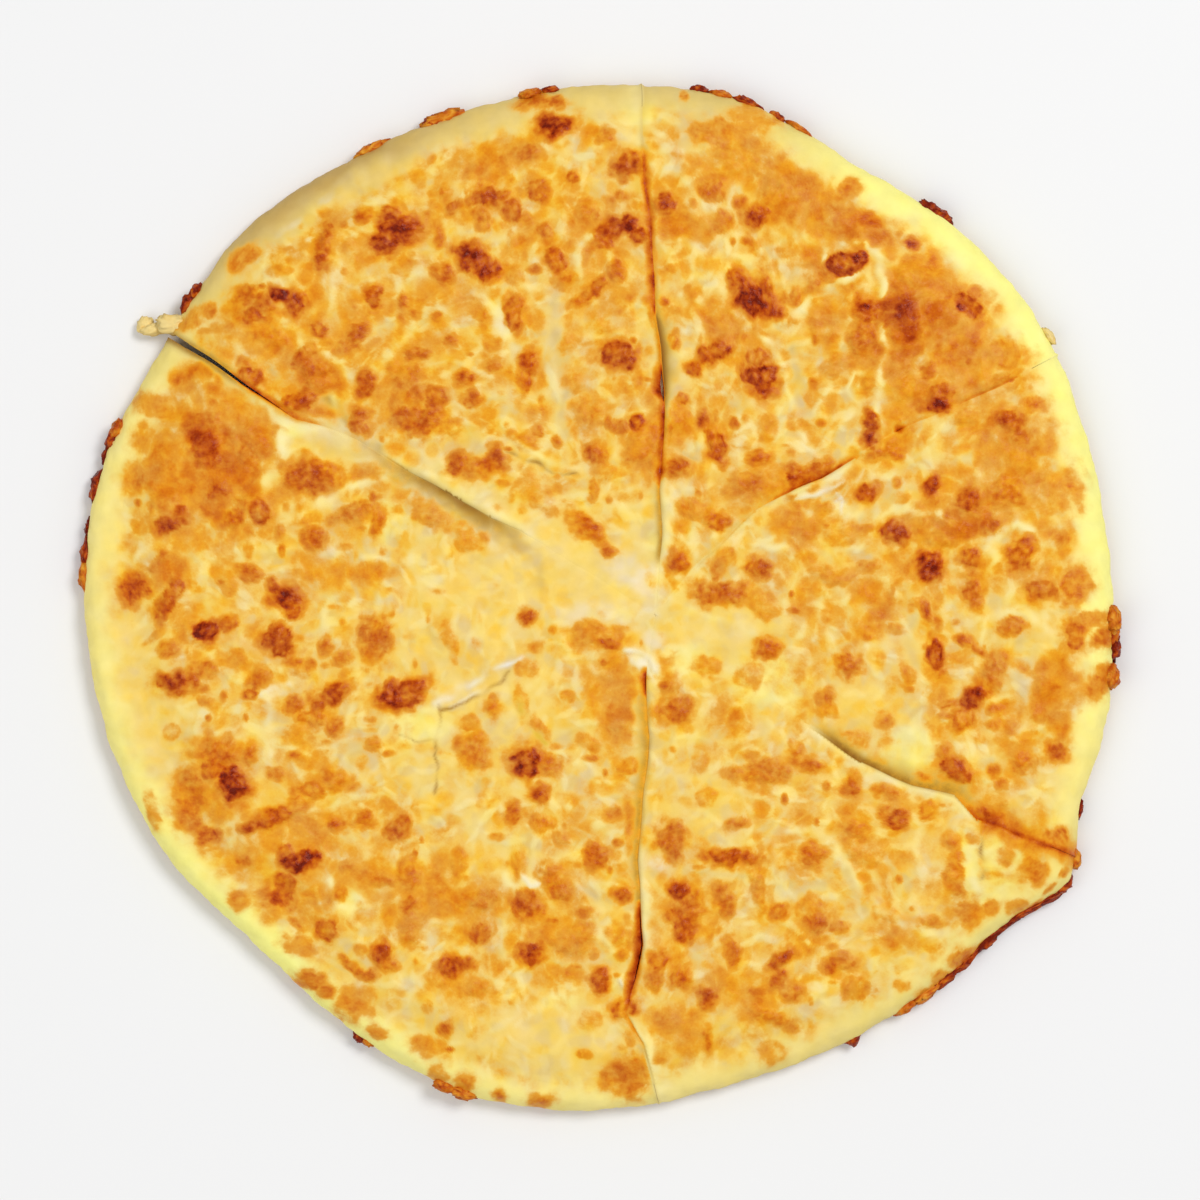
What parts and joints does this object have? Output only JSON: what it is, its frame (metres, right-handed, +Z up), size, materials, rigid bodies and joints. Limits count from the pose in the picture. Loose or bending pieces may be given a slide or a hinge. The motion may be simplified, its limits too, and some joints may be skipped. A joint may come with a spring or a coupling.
{
  "type": "megrelian khachapuri",
  "caption": "Round flat Georgian cheese bread, browned melted cheese on top, cut into slices that still lie together, with dough, white cheese and topping showing at the cuts.",
  "frame": {"origin": "middle of the box on the flat underside", "axes": "+Z up out of the browned top, +X to the right and +Y to the top of the picture, which looks straight down"},
  "size_m": [0.306, 0.2988, 0.0179],
  "materials": {
    "dough": "soft baked dough, pale yellow, matt with a faint buttery sheen",
    "filling": "moist white cheese, crumbly at the cut faces",
    "topping": "melted cheese, pale yellow with golden patches and browned blisters, slightly greasy"
  },
  "bodies": {
    "root": {"dough_right": "dough", "dough_back_right": "dough", "dough_back_left": "dough", "dough_left": "dough", "dough_front_right": "dough", "filling_right": "filling", "filling_back_right": "filling", "filling_back_left": "filling", "filling_left": "filling", "filling_front_right": "filling", "topping_right": "topping", "topping_back_right": "topping", "topping_back_left": "topping", "topping_left": "topping", "topping_front_right": "topping"}
  },
  "joints": []
}
